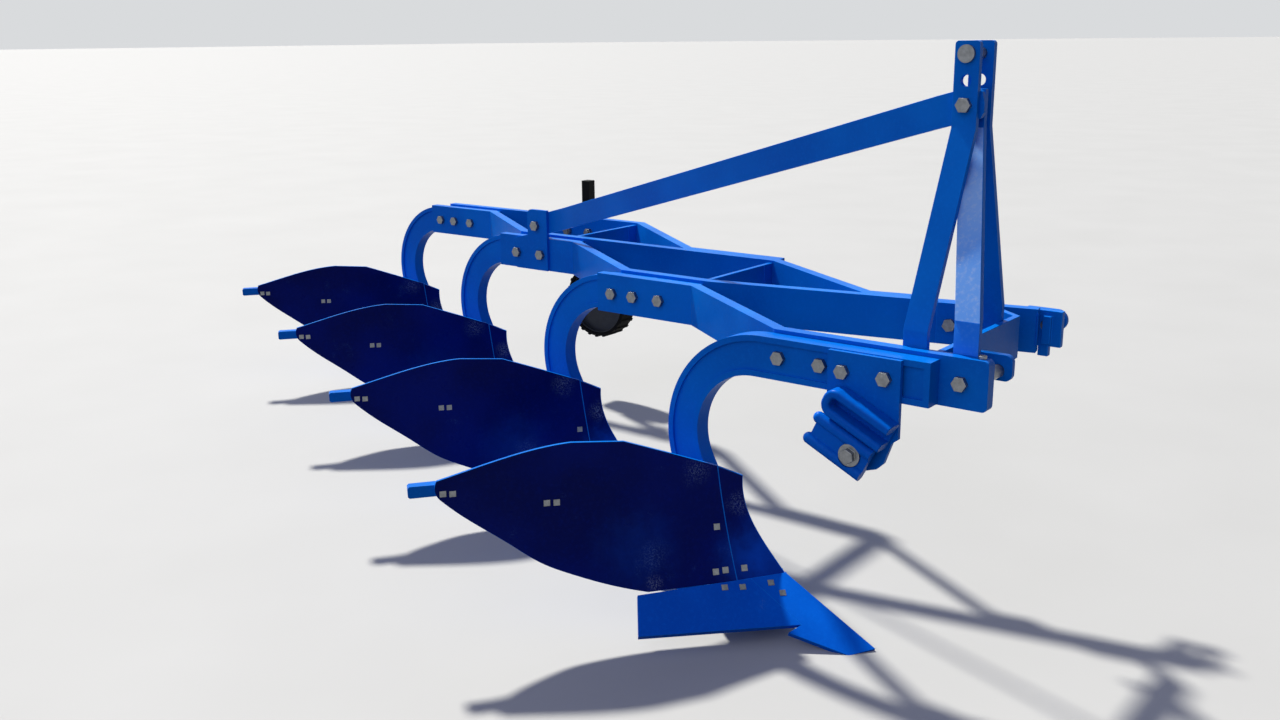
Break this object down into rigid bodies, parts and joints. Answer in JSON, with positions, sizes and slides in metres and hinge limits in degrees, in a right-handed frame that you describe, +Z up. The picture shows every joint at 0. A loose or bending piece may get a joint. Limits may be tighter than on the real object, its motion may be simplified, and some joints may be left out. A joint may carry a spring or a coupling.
{
  "type": "mouldboard plough",
  "caption": "Mounted tractor plough with cranked beams, curved legs, twisted mouldboards, three-point mast, stay bar, skim clamp and sliding depth wheel.",
  "frame": {"origin": "centre of the bounding box in plan, at the ground the plough stands on", "axes": "+X the way the plough travels, +Y its left side (the landside), +Z up"},
  "size_m": [3.3778, 1.954, 1.363],
  "materials": {
    "frame_blue": "gloss blue enamel",
    "board_blue": "dark blue enamel over formed steel",
    "share_blue": "gloss blue enamel over forged steel",
    "zinc_steel": "zinc plated",
    "black_paint": "satin black",
    "rim_grey": "bare grey casting",
    "tyre": "black rubber"
  },
  "bodies": {
    "plough": {"leg_1": "frame_blue", "leg_2": "frame_blue", "leg_3": "frame_blue", "leg_4": "frame_blue", "frog_1": "frame_blue", "frog_2": "frame_blue", "frog_3": "frame_blue", "frog_4": "frame_blue", "mouldboard_1": "board_blue", "mouldboard_2": "board_blue", "mouldboard_3": "board_blue", "mouldboard_4": "board_blue", "shin_1": "board_blue", "shin_2": "board_blue", "shin_3": "board_blue", "shin_4": "board_blue", "share_1": "share_blue", "share_2": "share_blue", "share_3": "share_blue", "share_4": "share_blue", "point_1": "share_blue", "point_2": "share_blue", "point_3": "share_blue", "point_4": "share_blue", "landside_1": "frame_blue", "landside_2": "frame_blue", "landside_3": "frame_blue", "landside_4": "frame_blue", "tail_pieces": "frame_blue", "board_braces": "frame_blue", "plough_bolts": "zinc_steel", "beam_1": "frame_blue", "beam_2": "frame_blue", "beam_3": "frame_blue", "rear_stiffener": "frame_blue", "frame_struts": "frame_blue", "mast_bar_right": "frame_blue", "mast_bar_middle": "frame_blue", "mast_bar_left": "frame_blue", "stay_bar": "frame_blue", "stay_bracket": "frame_blue", "top_link_pin": "zinc_steel", "mast_spacers": "zinc_steel", "cross_plate": "frame_blue", "hitch_ear": "frame_blue", "left_hitch_bracket": "frame_blue", "lower_hitch_pins": "zinc_steel", "frame_bolts": "zinc_steel", "skim_bracket": "frame_blue", "clamp_saddle": "frame_blue", "stem_clamp": "frame_blue", "clamp_screw": "zinc_steel"},
    "wheel_carrier": {"wheel_stem": "black_paint", "axle_cap": "zinc_steel"},
    "wheel": {"wheel_rim": "rim_grey", "tyre": "tyre"},
    "skim_jaw": {"clamp_jaw": "frame_blue", "clamp_bolt": "zinc_steel"},
    "linch": {"linch_pin": "zinc_steel"},
    "keeper": {"keeper_peg": "zinc_steel"}
  },
  "joints": [
    {"name": "wheel_height", "type": "slide", "parent": "plough", "child": "wheel_carrier", "axis": [0, 0, 1], "range_m": [-0.09, 0.06]},
    {"name": "wheel_spin", "type": "hinge", "parent": "wheel_carrier", "child": "wheel", "pos_m": [-0.41906, 0.93416, 0.386], "axis": [0, 1, 0], "continuous": true},
    {"name": "skim_jaw_slide", "type": "slide", "parent": "plough", "child": "skim_jaw", "axis": [0, -1, 0], "range_m": [0, 0.015]},
    {"name": "linch_pin_lift", "type": "slide", "parent": "plough", "child": "linch", "axis": [0, 0, 1], "range_m": [0, 0.06]},
    {"name": "keeper_lift", "type": "slide", "parent": "plough", "child": "keeper", "axis": [0, 0, 1], "range_m": [0, 0.08]}
  ]
}
